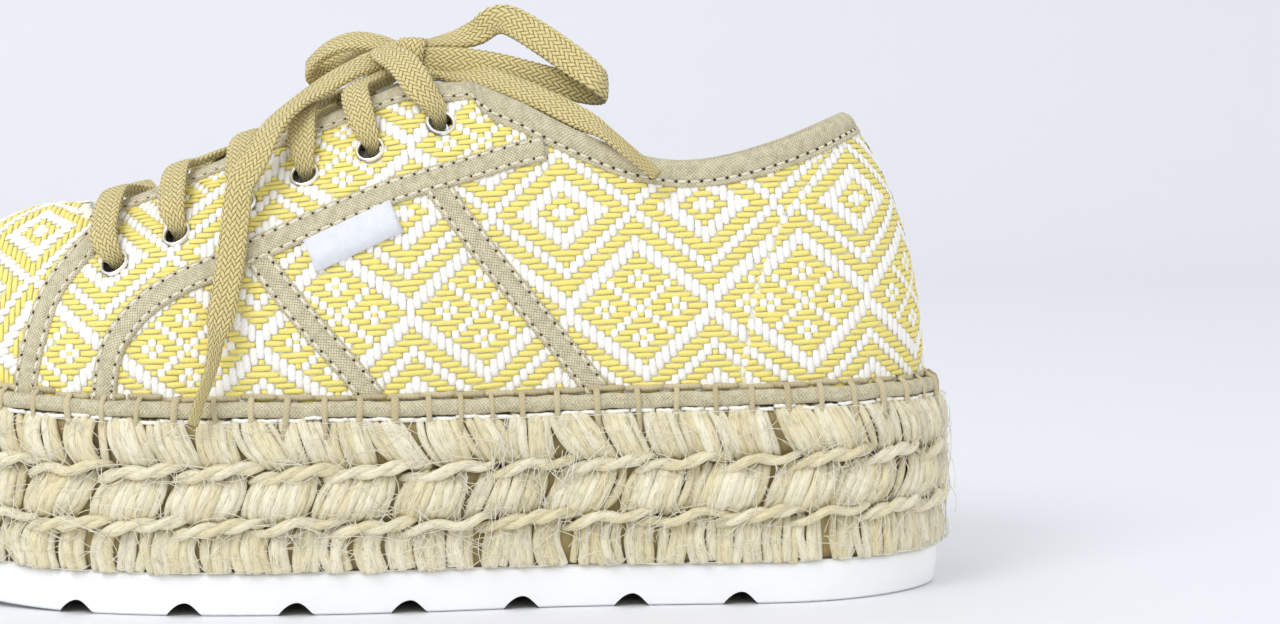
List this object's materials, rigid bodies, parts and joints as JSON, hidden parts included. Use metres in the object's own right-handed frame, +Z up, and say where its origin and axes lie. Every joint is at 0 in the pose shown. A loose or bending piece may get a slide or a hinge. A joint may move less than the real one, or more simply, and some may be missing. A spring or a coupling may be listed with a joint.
{
  "type": "platform sneaker",
  "caption": "Left low lace-up sneaker with a woven upper, bias tape trim, a thick jute platform in three wound layers and a notched white rubber outsole, stood empty.",
  "frame": {"origin": "on the floor, at the middle of the shoe's length and width without its free laces", "axes": "+X to the heel, -X to the toe, -Y to the outer (lateral) side, +Y to the inner (medial) side, +Z up"},
  "size_m": [0.2666, 0.1035, 0.1384],
  "materials": {
    "outsole_rubber": "matt white",
    "jute": "natural plaited jute",
    "tape": "khaki cotton bias tape",
    "woven_upper": "yellow and white woven cotton",
    "lining": "plain white cotton",
    "lace": "braided cotton",
    "eyelet_metal": "bright plated",
    "tag": "bare woven satin"
  },
  "bodies": {
    "root": {"outsole": "outsole_rubber", "braid_lower": "jute", "braid_middle": "jute", "braid_upper": "jute", "seam_cord_lower": "jute", "seam_cord_upper": "jute", "piping": "tape", "insole": "lining", "upper": "woven_upper", "tongue": "lining", "binding": "tape", "strip_front_lateral": "tape", "strip_eyestay_lateral": "tape", "strip_slant_fore_lateral": "tape", "strip_slant_aft_lateral": "tape", "strip_front_medial": "tape", "strip_eyestay_medial": "tape", "strip_slant_fore_medial": "tape", "strip_slant_aft_medial": "tape", "side_tag": "tag", "eyelet_lateral_1": "eyelet_metal", "eyelet_lateral_2": "eyelet_metal", "eyelet_lateral_3": "eyelet_metal", "eyelet_lateral_4": "eyelet_metal", "eyelet_lateral_5": "eyelet_metal", "eyelet_lateral_6": "eyelet_metal", "eyelet_medial_1": "eyelet_metal", "eyelet_medial_2": "eyelet_metal", "eyelet_medial_3": "eyelet_metal", "eyelet_medial_4": "eyelet_metal", "eyelet_medial_5": "eyelet_metal", "eyelet_medial_6": "eyelet_metal", "lace_bar": "lace", "lace_crossing_2": "lace", "lace_crossing_3": "lace", "lace_crossing_4": "lace", "lace_crossing_5": "lace", "lace_top_lateral": "lace", "lace_top_medial": "lace", "lace_knot": "lace", "lace_loop_fore": "lace", "lace_loop_rear": "lace", "lace_end_fore": "lace", "lace_end_rear": "lace"}
  },
  "joints": []
}
